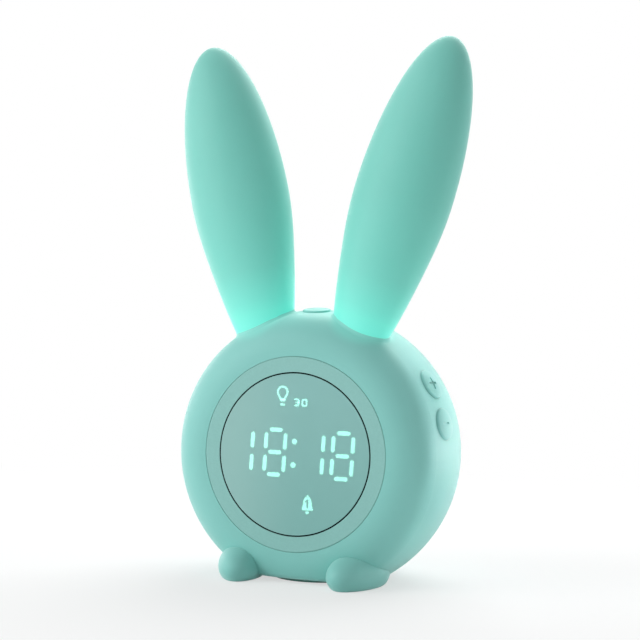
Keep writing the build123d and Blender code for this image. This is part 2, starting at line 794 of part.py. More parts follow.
def add_base():
    bottom = base_height + seat_gap
    plate_height = skin_wall + skin_gap - 2 * seat_gap
    disc = upright(base_plate_radius - base_plate_gap, (0, 0), bottom, plate_height)
    for place in base_screw_places:
        disc = disc - upright(screw_radius + hole_gap, place, 0, span)
        disc = disc - upright(screw_head_radius + hole_gap, place, 0, bottom + screw_head_height)
    parts["base_plate"] = disc
    pad = upright(pad_radius, (0, 0), 0, base_height)
    pad = fillet(pad.edges().sort_by(Axis.Z)[0], pad_rounding)
    for radius in pad_groove_radii:
        groove = upright(radius + pad_groove_width / 2, (0, 0), -1, 1 + pad_groove_depth)
        pad = pad - (groove - upright(radius - pad_groove_width / 2, (0, 0), -1, 3))
    parts["base_pad"] = pad


def add_small_screws():
    seats = [Pos(x, display_board_front + board_thickness, centre_height + z) * Rot(-90, 0, 0)
             for x, z in display_boss_places()]
    seats += [Pos(x, main_board_depth + board_thickness, centre_height + z) * Rot(-90, 0, 0)
              for x, z in four(main_post_places)]
    seats += [Pos(x, speaker_seat - seat_gap - speaker_rim, centre_height + z) * Rot(90, 0, 0)
              for x, z in tab_places()]
    seats += [Pos(x, y, base_height + seat_gap + screw_head_height) * Rot(180, 0, 0)
              for x, y in base_screw_places]
    seats += [Pos(x, charge_post_places[1], charge_board_top())
              for x in (charge_post_places[0], -charge_post_places[0])]
    screws = [seat * small_screw() for seat in seats]
    for post_screw in key_board_screws(side_offset, side_holes):
        screws += both_sides(side_plane.location * post_screw)
    screws += [top_plane.location * post_screw for post_screw in key_board_screws(top_offset, top_holes)]
    parts["board_screws"] = Compound(screws)


os.makedirs("parts", exist_ok=True)
add_cover()
add_housings()
add_face()
add_display()
add_ears()
add_paws()
add_keys()
add_boards()
add_battery()
add_port()
add_speaker()
add_base()
add_small_screws()

for name, part in parts.items():
    export_step(part, "parts/" + name + ".step")
print(len(parts), "nodes written")
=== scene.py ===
import json
from math import asin, atan2, copysign, cos, pi, radians, sin, sqrt, tan
import bpy
import bmesh
from mathutils import Matrix, Vector
from mathutils.bvhtree import BVHTree


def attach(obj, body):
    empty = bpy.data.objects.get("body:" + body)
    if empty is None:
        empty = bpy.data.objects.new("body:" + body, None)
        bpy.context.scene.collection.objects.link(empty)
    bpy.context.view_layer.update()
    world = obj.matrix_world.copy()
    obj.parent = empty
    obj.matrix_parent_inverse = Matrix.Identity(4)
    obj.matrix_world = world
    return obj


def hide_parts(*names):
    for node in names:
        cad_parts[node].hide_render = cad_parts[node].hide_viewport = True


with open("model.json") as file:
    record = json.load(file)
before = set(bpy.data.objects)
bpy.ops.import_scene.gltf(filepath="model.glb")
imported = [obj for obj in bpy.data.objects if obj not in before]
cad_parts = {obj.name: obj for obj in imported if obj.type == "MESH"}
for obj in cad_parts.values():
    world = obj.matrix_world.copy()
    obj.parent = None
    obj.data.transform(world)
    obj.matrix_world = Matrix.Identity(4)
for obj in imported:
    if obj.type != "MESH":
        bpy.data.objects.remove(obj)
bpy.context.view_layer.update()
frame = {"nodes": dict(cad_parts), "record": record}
nodes = frame["nodes"]
scene = bpy.context.scene
print("frame loaded:", len(nodes), "nodes")

mm = 0.001
ball = {"radius": 48.5, "centre": 43.3, "face": 22.9}  # mm, as in the solids
ear = {"side": 17.8, "forward": 9.8, "sunk": 1.5, "leanOut": 15.5, "leanBack": 4.0, "length": 101.8}
earRise = sqrt(ball["radius"] ** 2 - ear["side"] ** 2 - ear["forward"] ** 2) - ear["sunk"]
earRoot = Vector((ear["side"], -ear["forward"], ball["centre"] + earRise)) * mm
earAxis = Vector((tan(radians(ear["leanOut"])), tan(radians(ear["leanBack"])), 1)).normalized()


def linear(text):  # sRGB hex to the linear values that a shader takes
    parts = [int(text[i:i + 2], 16) / 255 for i in (1, 3, 5)]
    return (*[c / 12.92 if c <= 0.04045 else ((c + 0.055) / 1.055) ** 2.4 for c in parts], 1)


def addNode(tree, kind, links=None, values=None, **settings):
    node = tree.nodes.new(kind)
    for name, value in settings.items():
        setattr(node, name, value)
    for name, value in (values or {}).items():
        node.inputs[name].default_value = value
    for name, source in (links or {}).items():
        tree.links.new(source, node.inputs[name])
    return node


def seenPlainly(tree):
    # 1 on rays from the camera, off mirrors and through clear things, 0 on rays that light the clock
    path = addNode(tree, "ShaderNodeLightPath")
    seen = addNode(tree, "ShaderNodeMath",
                   {0: path.outputs["Is Camera Ray"], 1: path.outputs["Is Glossy Ray"]}, operation="MAXIMUM")
    seen = addNode(tree, "ShaderNodeMath",
                   {0: seen.outputs[0], 1: path.outputs["Is Transmission Ray"]}, operation="MAXIMUM")
    return seen.outputs[0]


def newMaterial(name, **surface):
    material = bpy.data.materials.new(name)
    material.use_nodes = True
    shader = material.node_tree.nodes["Principled BSDF"]
    for socket, value in surface.items():
        shader.inputs[socket.replace("_", " ")].default_value = value
    return material, material.node_tree, shader


def mottle(tree, shader, light, dark, size, bump, depth, roughness, spread):
    # two tones that drift over the surface, and a grain of the given size in mm
    place = addNode(tree, "ShaderNodeTexCoord").outputs["Object"]
    drift = addNode(tree, "ShaderNodeTexNoise", {"Vector": place},
                    {"Scale": 1 / (size * mm), "Detail": 3.0})
    tone = addNode(tree, "ShaderNodeMix", {"Factor": drift.outputs["Fac"]}, data_type="RGBA")
    tone.inputs[6].default_value = linear(dark)
    tone.inputs[7].default_value = linear(light)
    grain = addNode(tree, "ShaderNodeTexNoise", {"Vector": place}, {"Scale": 1 / (bump * mm), "Detail": 2.0})
    gloss = addNode(tree, "ShaderNodeMapRange", {"Value": grain.outputs["Fac"]},
                    {"To Min": roughness - spread, "To Max": roughness + spread})
    relief = addNode(tree, "ShaderNodeBump", {"Height": grain.outputs["Fac"]},
                     {"Strength": 1.0, "Distance": depth * mm})
    tree.links.new(tone.outputs[2], shader.inputs["Base Color"])
    tree.links.new(gloss.outputs["Result"], shader.inputs["Roughness"])
    tree.links.new(relief.outputs["Normal"], shader.inputs["Normal"])
    return place, tone


def earSpace(tree, place):
    # the place with both sides folded on to the right ear, from the ear's root
    split = addNode(tree, "ShaderNodeSeparateXYZ", {"Vector": place})
    side = addNode(tree, "ShaderNodeMath", {0: split.outputs["X"]}, operation="ABSOLUTE")
    folded = addNode(tree, "ShaderNodeCombineXYZ",
                     {"X": side.outputs[0], "Y": split.outputs["Y"], "Z": split.outputs["Z"]})
    return addNode(tree, "ShaderNodeVectorMath", {0: folded.outputs[0]}, {1: earRoot}, operation="SUBTRACT")


finishes = {}

# soft-touch silicone rubber, moulded in a blasted tool: matt, faintly see-through, no sharp gloss; round the
# ear roots a painted glow stands in for the ears' light reaching the cover
silicone = {"light": "#93DAD3", "dark": "#8BD4CC", "drift": 30, "grain": 0.8, "depth": 0.012,
            "rough": 0.55, "spread": 0.04, "glow": "#4FE8CC", "paintedGlowStrength": 0.12,
            "paintedGlowStart": 9.0, "paintedGlowEnd": 13}
material, tree, shader = newMaterial("mouldedSiliconePaintedGlow", IOR=1.41, Subsurface_Weight=0.06,
                                     Subsurface_Radius=(1.0, 1.2, 1.1), Subsurface_Scale=0.001,
                                     Sheen_Weight=0.35, Sheen_Roughness=0.45)
place, tone = mottle(tree, shader, silicone["light"], silicone["dark"], silicone["drift"],
                     silicone["grain"], silicone["depth"], silicone["rough"], silicone["spread"])
local = earSpace(tree, place)
reach = addNode(tree, "ShaderNodeVectorMath", {0: local.outputs[0]}, operation="LENGTH")
# painted glow: the cover gives off the ears' teal light near each ear root, fading out a little way from it
paintedSpill = addNode(tree, "ShaderNodeMapRange", {"Value": reach.outputs["Value"]},
                {"From Min": silicone["paintedGlowStart"] * mm, "From Max": silicone["paintedGlowEnd"] * mm,
                 "To Min": silicone["paintedGlowStrength"], "To Max": 0.0}, interpolation_type="SMOOTHSTEP")
shader.inputs["Emission Color"].default_value = linear(silicone["glow"])
tree.links.new(paintedSpill.outputs["Result"], shader.inputs["Emission Strength"])
finishes["body_silicone"] = material

# the ears are the same silicone with less pigment, lit from their roots by the lamps inside
glowing = {"light": "#86D7CB", "dark": "#7ED1C4", "drift": 30, "grain": 0.8, "depth": 0.012,
           "rough": 0.55, "spread": 0.04, "glow": "#45F0D8",
           "stops": ((0.0, 0.46), (0.07, 0.30), (0.18, 0.12), (0.45, 0.05), (1.0, 0.0))}
material, tree, shader = newMaterial("litSilicone", IOR=1.41, Subsurface_Weight=0.25,
                                     Subsurface_Radius=(1.0, 1.3, 1.2), Subsurface_Scale=0.003,
                                     Sheen_Weight=0.35, Sheen_Roughness=0.45)
place, tone = mottle(tree, shader, glowing["light"], glowing["dark"], glowing["drift"],
                     glowing["grain"], glowing["depth"], glowing["rough"], glowing["spread"])
local = earSpace(tree, place)
along = addNode(tree, "ShaderNodeVectorMath", {0: local.outputs[0]}, {1: earAxis},
                operation="DOT_PRODUCT")
share = addNode(tree, "ShaderNodeMath", {0: along.outputs["Value"]}, {1: ear["length"] * mm},
                operation="DIVIDE")
fade = addNode(tree, "ShaderNodeValToRGB", {"Fac": share.outputs[0]})
fade.color_ramp.interpolation = "B_SPLINE"
while len(fade.color_ramp.elements) < len(glowing["stops"]):
    fade.color_ramp.elements.new(0.5)
for stop, (where, strength) in zip(fade.color_ramp.elements, glowing["stops"]):
    stop.position = where
    stop.color = (strength, strength, strength, 1)
shader.inputs["Emission Color"].default_value = linear(glowing["glow"])
tree.links.new(fade.outputs["Color"], shader.inputs["Emission Strength"])
finishes["ear_silicone"] = material

# spark-eroded ABS of the bezel: a fine even grain that scatters its shine
bezel = {"light": "#98D2CC", "dark": "#8EC9C2", "drift": 0.7, "grain": 0.55, "depth": 0.03,
         "rough": 0.6, "spread": 0.06}
material, tree, shader = newMaterial("erodedAbs", IOR=1.53)
mottle(tree, shader, bezel["light"], bezel["dark"], bezel["drift"], bezel["grain"], bezel["depth"],
       bezel["rough"], bezel["spread"])
finishes["bezel_abs"] = material

driftPerGrain = 6  # how many grains wide a plain finish's patches are

# plain finishes: slot, common name, two tones, grain in mm, its depth, roughness, spread, metal, IOR
plain = {
    "housing_abs": ("mouldedAbs", "#C9D3CF", "#C1CBC7", 0.9, 0.006, 0.45, 0.05, 0.0, 1.53),
    "gasket_rubber": ("nitrileRubber", "#061311", "#040D0C", 0.4, 0.008, 0.9, 0.06, 0.0, 1.2),
    "light_box_plastic": ("blackPrintedAbs", "#33443F", "#2B3A36", 0.8, 0.004, 0.55, 0.05, 0.0, 1.53),
    "segment_dark": ("unlitDiffuser", "#33443F", "#2B3A36", 0.8, 0.004, 0.5, 0.05, 0.0, 1.49),
    "circuit_board": ("solderMask", "#1C5A36", "#17502F", 1.5, 0.004, 0.3, 0.05, 0.0, 1.55),
    "led_resin": ("ledResin", "#EFE9B4", "#E6DFA4", 0.6, 0.003, 0.25, 0.04, 0.0, 1.5),
    "component_black": ("epoxyBlack", "#26272A", "#1E1F22", 0.5, 0.006, 0.5, 0.06, 0.0, 1.55),
    "screw_steel": ("zincPlatedSteel", "#B9BBC0", "#A9ABB2", 0.4, 0.006, 0.32, 0.06, 1.0, 1.5),
    "cell_foil": ("laminateFoil", "#BFC2C6", "#B2B5BA", 2.0, 0.02, 0.3, 0.06, 1.0, 1.5),
    "foam_tape": ("acrylicFoam", "#DDDDDA", "#D2D2CE", 0.5, 0.03, 0.85, 0.05, 0.0, 1.49),
    "inner_plastic": ("mouldedPolypropylene", "#DCE0DD", "#D3D8D5", 0.8, 0.005, 0.42, 0.05, 0.0, 1.49),
    "stem_plastic": ("mouldedAcetal", "#2B2C2F", "#232427", 0.5, 0.004, 0.35, 0.05, 0.0, 1.48),
    "speaker_steel": ("blackPassivatedSteel", "#34363A", "#2C2E32", 0.5, 0.005, 0.4, 0.06, 1.0, 1.5),
    "magnet_ferrite": ("groundFerrite", "#3C3D40", "#333438", 0.6, 0.01, 0.45, 0.07, 0.6, 1.5),
    "speaker_paper": ("pressedPaper", "#3A3B3E", "#303134", 0.6, 0.02, 0.9, 0.04, 0.0, 1.5),
    "socket_steel": ("nickelPlatedSteel", "#C4C5C4", "#B6B7B6", 0.4, 0.004, 0.25, 0.05, 1.0, 1.5),
    "pad_rubber": ("ribbedRubber", "#7FB9AF", "#76B0A6", 0.5, 0.02, 0.75, 0.05, 0.0, 1.5),
}
for slot, (name, light, dark, grain, depth, roughness, spread, metal, ior) in plain.items():
    material, tree, shader = newMaterial(name, IOR=ior, Metallic=metal)
    mottle(tree, shader, light, dark, driftPerGrain * grain, grain, depth, roughness, spread)
    finishes[slot] = material

# lit acrylic diffusers: milky, a little brighter in some patches than in others
lit = {"colour": "#CFFAF1", "glow": "#F2FFF5", "strength": 2.2, "patch": 3, "vary": 0.15}
material, tree, shader = newMaterial("litDiffuser", IOR=1.49, Roughness=0.5,
                                     Base_Color=linear(lit["colour"]), Emission_Color=linear(lit["glow"]))
place = addNode(tree, "ShaderNodeTexCoord").outputs["Object"]
patches = addNode(tree, "ShaderNodeTexNoise", {"Vector": place},
                  {"Scale": 1 / (lit["patch"] * mm), "Detail": 1.0})
level = addNode(tree, "ShaderNodeMapRange", {"Value": patches.outputs["Fac"]},
                {"To Min": lit["strength"] * (1 - lit["vary"]),
                 "To Max": lit["strength"] * (1 + lit["vary"])})
tree.links.new(level.outputs["Result"], shader.inputs["Emission Strength"])
finishes["segment_lit"] = material

# half-mirror coated acrylic: most of the light comes back, the lit bars show through it;
# its colour holds a painted reflection, lighter from low to high in Z and from inner to outer in X, in mm
window = {"top": "#A6E4DF", "bottom": "#9CDDD7", "left": "#B4EAE4", "mirror": 0.74, "tint": "#D6F3EC",
          "rough": 0.22, "low": 20, "high": 70, "inner": 5, "outer": -27}
material, tree, shader = newMaterial("halfMirrorAcrylicPaintedReflection", IOR=1.49, Metallic=0.1, Roughness=window["rough"],
                                     Coat_Weight=0.3, Coat_Roughness=0.08)
place = addNode(tree, "ShaderNodeTexCoord").outputs["Object"]
split = addNode(tree, "ShaderNodeSeparateXYZ", {"Vector": place})
# painted reflection: the lens turns lighter from its lower to its upper part
height = addNode(tree, "ShaderNodeMapRange", {"Value": split.outputs["Z"]},
                 {"From Min": window["low"] * mm, "From Max": window["high"] * mm},
                 interpolation_type="SMOOTHSTEP")
paintedReflectionByHeight = addNode(tree, "ShaderNodeMix", {"Factor": height.outputs["Result"]}, data_type="RGBA")
paintedReflectionByHeight.inputs[6].default_value = linear(window["bottom"])
paintedReflectionByHeight.inputs[7].default_value = linear(window["top"])
# painted reflection: the lens turns lighter towards its left edge, seen from the front
across = addNode(tree, "ShaderNodeMapRange", {"Value": split.outputs["X"]},
                {"From Min": window["inner"] * mm, "From Max": window["outer"] * mm},
                interpolation_type="SMOOTHSTEP")
paintedReflectionBySide = addNode(tree, "ShaderNodeMix", {"Factor": across.outputs["Result"], 6: paintedReflectionByHeight.outputs[2]},
                  data_type="RGBA")
paintedReflectionBySide.inputs[7].default_value = linear(window["left"])
tree.links.new(paintedReflectionBySide.outputs[2], shader.inputs["Base Color"])
clear = addNode(tree, "ShaderNodeBsdfTransparent", values={"Color": linear(window["tint"])})
inside = addNode(tree, "ShaderNodeNewGeometry").outputs["Backfacing"]
front = addNode(tree, "ShaderNodeMath", {1: inside}, {0: 1.0}, operation="SUBTRACT")
solid = addNode(tree, "ShaderNodeMath", {0: front.outputs[0]}, {1: window["mirror"]}, operation="MULTIPLY")
mix = addNode(tree, "ShaderNodeMixShader",
              {"Fac": solid.outputs[0], 1: clear.outputs[0], 2: shader.outputs[0]})
tree.links.new(mix.outputs[0], tree.nodes["Material Output"].inputs["Surface"])
finishes["lens_acrylic"] = material

for part in frame["record"]["subparts"]:
    mesh = nodes[part["node"]].data
    mesh.materials.clear()
    mesh.materials.append(finishes[part["material_slot"]])
print("materials:", len(finishes))


def finishPiece(name, bm, slotName, body="root", replaced=(), smooth=True):
    # from a bmesh in mm to an object that rides on its body
    bmesh.ops.transform(bm, matrix=Matrix.Scale(mm, 4), verts=bm.verts)
    for face in bm.faces:
        face.smooth = smooth
    mesh = bpy.data.meshes.new(name)
    bm.to_mesh(mesh)
    bm.free()
    piece = bpy.data.objects.new(name, mesh)
    scene.collection.objects.link(piece)
    mesh.materials.append(finishes[slotName])
    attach(piece, body)
    if replaced:
        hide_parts(*replaced)
    return piece


def facePlace(x, z, depth=0.0, turn=0.0):
    # from a drawing in X and Y to the display, seen from the front, depth mm behind the face
    return (Matrix.Translation((x, -ball["face"] + depth, ball["centre"] + z))
            @ Matrix.Rotation(pi / 2, 4, "X") @ Matrix.Rotation(radians(turn), 4, "Z"))


def addSlab(bm, width, height, thickness, corner, matrix, segments=5):
    # round-cornered slab whose front is at the drawing's plane
    made = bmesh.ops.create_cube(bm, size=1, matrix=Matrix.Diagonal((width, height, thickness, 1)))
    upright = [e for e in {e for v in made["verts"] for e in v.link_edges}
               if abs(e.verts[0].co.z - e.verts[1].co.z) > thickness / 2]
    rounded = bmesh.ops.bevel(bm, geom=upright, offset=corner, segments=segments, profile=0.5,
                              affect="EDGES", material=-1)
    verts = {v for f in rounded["faces"] for v in f.verts} | {v for v in made["verts"] if v.is_valid}
    bmesh.ops.transform(bm, matrix=matrix @ Matrix.Translation((0, 0, -thickness / 2)), verts=list(verts))


# the clock's figures: places of the digits, then each bar's place, length and width in mm
display = {"digits": (-19.6, -7.7, 6.1, 16.6), "up": 0.2, "rise": 7.5, "reach": 3.5, "slant": 2.3,
           "side": 5.4, "cross": 4.8, "width": 1.4, "roundShare": 0.48, "colon": 0.95, "colonRise": 3.9,
           "colonX": -0.8, "dotSides": 24, "depth": 2.0, "thick": 0.6,
           "shown": ("one", "eight", "one", "eight")}


def digitBars():
    # each bar's length, turn, and place in X and Z from the digit's middle
    rise, reach, side, cross = (display[k] for k in ("rise", "reach", "side", "cross"))
    eight = [(cross, 0, 0, rise), (side, 90, reach, rise / 2), (side, 90, -reach, rise / 2), (cross, 0, 0, 0),
             (side, 90, reach, -rise / 2), (side, 90, -reach, -rise / 2), (cross, 0, 0, -rise)]
    return {"eight": eight, "one": [eight[1], eight[4]]}


bm = bmesh.new()
slope = tan(radians(display["slant"]))
for digitX, shown in zip(display["digits"], display["shown"]):
    for length, turn, x, z in digitBars()[shown]:
        lean = -display["slant"] if turn else 0
        addSlab(bm, length, display["width"], display["thick"], display["width"] * display["roundShare"],
                facePlace(digitX + x + z * slope, display["up"] + z, display["depth"], turn + lean))
for side in (1, -1):
    made = bmesh.ops.create_cone(bm, cap_ends=True, segments=display["dotSides"], radius1=display["colon"],
                                 radius2=display["colon"], depth=display["thick"])
    rise = side * display["colonRise"]
    bmesh.ops.transform(bm, verts=made["verts"], matrix=facePlace(
        display["colonX"] + rise * slope, display["up"] + rise, display["depth"] + display["thick"] / 2))
finishPiece("litBars", bm, "segment_lit", replaced=("lit_segments",), smooth=False)

# the three sign windows (X, Z, width, height): a dark printed film in each, the sign lit on it
signs = {"bulb": (-5.3, 19.3, 4.6, 7.2), "timer": (1.3, 17.4, 6.2, 3.4), "bell": (4.7, -16.1, 5.0, 7.4),
         "film": 0.55, "gap": 0.06, "cornerShare": 0.3, "behind": 0.05, "proud": 0.05, "lineSides": 48}
bm = bmesh.new()
for sign in ("bulb", "timer", "bell"):
    x, z, width, height = signs[sign]
    addSlab(bm, width - signs["gap"], height - signs["gap"], signs["film"],
            min(width, height) * signs["cornerShare"], facePlace(x, z, display["depth"] + signs["behind"]))
finishPiece("signFilms", bm, "segment_dark", smooth=False)


def addOutline(bm, bend, line, matrix, leftOut=None):
    # a flat closed line bent from a circle, with the part that leftOut picks taken away
    old = set(bm.verts)
    made = bmesh.ops.create_circle(bm, cap_ends=True, segments=signs["lineSides"], radius=1)
    for v in made["verts"]:
        v.co = bend(atan2(v.co.y, v.co.x))
    middle = made["verts"][0].link_faces[0]
    ring = bmesh.ops.inset_region(bm, faces=[middle], thickness=line, use_boundary=True,
                                  use_even_offset=True)
    gone = [middle] + [f for f in ring["faces"] if leftOut and leftOut(f.calc_center_median())]
    bmesh.ops.delete(bm, geom=gone, context="FACES")
    lift = bmesh.ops.extrude_face_region(bm, geom=[f for f in ring["faces"] if f.is_valid])
    raised = [g for g in lift["geom"] if isinstance(g, bmesh.types.BMVert)]
    bmesh.ops.translate(bm, vec=(0, 0, -signs["proud"]), verts=raised)
    bmesh.ops.transform(bm, matrix=matrix, verts=[v for v in bm.verts if v not in old])


bm = bmesh.new()
signDepth = display["depth"]
# the glass: a ring whose lower part runs straight to the collar; its angles are below the middle
bulb = {"radius": 2.12, "line": 0.7, "straightFrom": 28, "straightTo": 82.5, "closeFrom": 85, "neck": 0.9,
        "drop": 2.75, "x": -5.45, "z": 20.42, "collar": ((-2.85, 1.85, 0.8), (-4.2, 1.75, 0.8)),
        "collarCorner": 0.25, "collarShift": 0.05}


def bulbBend(angle):
    begin, end = radians(bulb["straightFrom"]), radians(bulb["straightTo"])
    x, y = bulb["radius"] * cos(angle), bulb["radius"] * sin(angle)
    below = atan2(-y, abs(x))
    if below > begin:
        share = min(1, (below - begin) / (end - begin))
        wide = bulb["radius"] * cos(begin) * (1 - share) + bulb["neck"] * share
        x = copysign(wide, x) if below < radians(bulb["closeFrom"]) else 0
        y = -bulb["radius"] * sin(begin) * (1 - share) - bulb["drop"] * share
    return Vector((x, y, 0))


addOutline(bm, bulbBend, bulb["line"], facePlace(bulb["x"], bulb["z"], signDepth))
for rise, width, height in bulb["collar"]:
    addSlab(bm, width, height, signs["proud"], bulb["collarCorner"],
            facePlace(bulb["x"] + bulb["collarShift"], bulb["z"] + rise, signDepth))

# the minutes of the timer: each digit is one squarish line, open on the left for the three
timer = {"three": -0.33, "nought": 2.56, "z": 17.14, "width": 2.15, "height": 2.7, "stroke": 0.62,
         "square": 0.55, "openLeft": -0.3, "openHalf": 0.8,
         "barLength": 0.6, "barWidth": 0.8, "barShift": 0.15, "barCorner": 0.15}


def digitBend(angle):
    x, y = (copysign(abs(c) ** timer["square"], c) for c in (cos(angle), sin(angle)))
    return Vector((x * timer["width"] / 2, y * timer["height"] / 2, 0))


addOutline(bm, digitBend, timer["stroke"], facePlace(timer["nought"], timer["z"], signDepth))
addOutline(bm, digitBend, timer["stroke"], facePlace(timer["three"], timer["z"], signDepth),
           leftOut=lambda c: c.x < timer["openLeft"] and abs(c.y) < timer["openHalf"])
# the three's middle bar, as shares of the digit's width and stroke
addSlab(bm, timer["width"] * timer["barLength"], timer["stroke"] * timer["barWidth"], signs["proud"],
        timer["barCorner"],
        facePlace(timer["three"] + timer["width"] * timer["barShift"], timer["z"], signDepth))

# the bell's outline as rows of height and half width from its foot up, about its middle
bell = {"x": 4.66, "z": -16.1, "clapper": 0.68, "clapperDrop": 2.85, "clapperFlat": 0.12,
        "clapperStretch": 1.1, "dotSides": 24,
        "rows": ((-2.35, 1.95), (-2.1, 2.08), (-1.7, 1.92), (-1.0, 1.72), (0.0, 1.54), (0.9, 1.45),
                 (1.5, 1.2), (1.95, 0.8), (2.2, 0.45), (2.5, 0.3), (2.85, 0.1))}
made = bmesh.ops.create_grid(bm, x_segments=2, y_segments=len(bell["rows"]) - 1, size=1)
for v in made["verts"]:
    row = round((v.co.y + 1) / 2 * (len(bell["rows"]) - 1))
    rise, half = bell["rows"][row]
    v.co = Vector((v.co.x * half, rise, 0))
lift = bmesh.ops.extrude_face_region(bm, geom=list({f for v in made["verts"] for f in v.link_faces}))
raised = [g for g in lift["geom"] if isinstance(g, bmesh.types.BMVert)]
bmesh.ops.translate(bm, vec=(0, 0, -signs["proud"]), verts=raised)
bmesh.ops.transform(bm, matrix=facePlace(bell["x"], bell["z"], signDepth),
                    verts=list(set(made["verts"]) | set(raised)))
# the clapper is a lower half disc
made = bmesh.ops.create_circle(bm, cap_ends=True, segments=bell["dotSides"], radius=bell["clapper"])
for v in made["verts"]:
    v.co.y = min(v.co.y, bell["clapperFlat"]) * bell["clapperStretch"]
bmesh.ops.transform(bm, verts=made["verts"], matrix=facePlace(
    bell["x"], bell["z"] - bell["clapperDrop"], signDepth - signs["proud"]))
bmesh.ops.recalc_face_normals(bm, faces=bm.faces)
finishPiece("signLights", bm, "segment_lit", smooth=False)

# the dark 1 on the bell: each stroke's X, Z, width, height and turn
numeral = {"strokes": ((0.0, -0.16, 0.52, 2.85, 0), (-0.32, 0.78, 0.42, 1.15, -42)), "corner": 0.2,
           "proud": 0.08}
bm = bmesh.new()
for x, z, width, height, turn in numeral["strokes"]:
    addSlab(bm, width, height, signs["proud"], numeral["corner"],
            facePlace(bell["x"] + x, bell["z"] + z, signDepth - numeral["proud"], turn))
finishPiece("bellNumber", bm, "segment_dark", smooth=False)
print("display: bars and signs")

# keys: a soft pillow on the plunger, with its sign sunk in the top; the two far ones are almost flush
keys = {"radius": 5.32, "turn": 82.5, "lift": 22.1, "pitch": 13.9, "rise": 0.65, "edge": 0.65, "crown": 0.7,
        "flushRise": 0.12, "flushCrown": 0.1, "flushWall": 0.4, "depth": 1.1, "sign": 4.4, "minusShare": 0.85,
        "line": 0.78, "corner": 0.3, "sunk": 0.7, "cutDeep": 3, "towardFace": 1.0, "dimple": 1.1,
        "soft": 0.12}
pillowSteps = {"shoulder": 8, "rings": 8, "around": 64, "dimple": 32}
topKey = {"radius": 4.82, "forward": 6.5, "rise": 0.6, "edge": 0.5, "crown": 0.3}


def pillow(bm, radius, rise, edge, crown, offset):
    # side wall, round shoulder and low crown, spun round the key's axis, then laid over the ball
    start = bm.verts.new((radius, 0, -keys["depth"]))
    corner = bm.verts.new((radius, 0, rise - edge))
    bm.edges.new((start, corner))
    bmesh.ops.spin(bm, geom=[corner], cent=(radius - edge, 0, rise - edge), axis=(0, -1, 0), dvec=(0, 0, 0),
                   angle=pi / 2, steps=pillowSteps["shoulder"])
    previous = min(bm.verts, key=lambda v: v.co.x)
    inner = previous.co.x
    rings = pillowSteps["rings"]
    for i in range(1, rings + 1):
        v = bm.verts.new((inner * (1 - i / rings), 0, rise))
        bm.edges.new((previous, v))
        previous = v
    bm.edges.new((bm.verts.new((0, 0, -keys["depth"])), start))
    bmesh.ops.spin(bm, geom=bm.verts[:] + bm.edges[:], cent=(0, 0, 0), axis=(0, 0, 1), dvec=(0, 0, 0),
                   angle=2 * pi, steps=pillowSteps["around"], use_merge=True)
    bmesh.ops.remove_doubles(bm, verts=bm.verts, dist=0.001)
    bmesh.ops.recalc_face_normals(bm, faces=bm.faces)
    for v in bm.verts:
        if v.co.z > -keys["depth"] / 2:
            v.co.z += crown * (1 - (v.co.xy.length / radius) ** 2)
        v.co.z += sqrt(ball["radius"] ** 2 - v.co.x ** 2 - (v.co.y + offset) ** 2)


def keyMatrix(left, offset):
    # from a key's own axes, Z outward, to its place on the ball
    turn, lift = radians(keys["turn"]), radians(keys["lift"])
    out = Vector((sin(turn) * cos(lift), -cos(turn) * cos(lift), sin(lift)))
    along = Vector((cos(turn), sin(turn), 0))
    up = out.cross(along)
    if left:
        out.x, along.x, up.x = -out.x, -along.x, -up.x
        along = -along
    matrix = Matrix((along, up, out)).transposed().to_4x4()
    return Matrix.Translation((0, 0, ball["centre"])) @ matrix @ Matrix.Translation((0, offset, 0))


def cutWith(piece, bm, matrix, width):
    # takes the solid bm out of the piece and softens the edges by width mm
    bmesh.ops.transform(bm, matrix=Matrix.Scale(mm, 4) @ matrix, verts=bm.verts)
    mesh = bpy.data.meshes.new("cutter")
    bm.to_mesh(mesh)
    bm.free()
    cutter = bpy.data.objects.new("cutter", mesh)
    scene.collection.objects.link(cutter)
    cut = piece.modifiers.new("cut", "BOOLEAN")
    cut.operation, cut.solver, cut.use_self, cut.object = "DIFFERENCE", "EXACT", True, cutter
    soft = piece.modifiers.new("soft", "BEVEL")
    soft.width, soft.segments, soft.limit_method, soft.angle_limit = width * mm, 2, "ANGLE", radians(40)
    graph = bpy.context.evaluated_depsgraph_get()
    made = bpy.data.meshes.new_from_object(piece.evaluated_get(graph))
    piece.modifiers.clear()
    old = piece.data
    piece.data = made
    bpy.data.meshes.remove(old)
    bpy.data.objects.remove(cutter)


def smoothByAngle(piece, degrees=35):
    piece.data.shade_smooth()
    piece.data.set_sharp_from_angle(angle=radians(degrees))


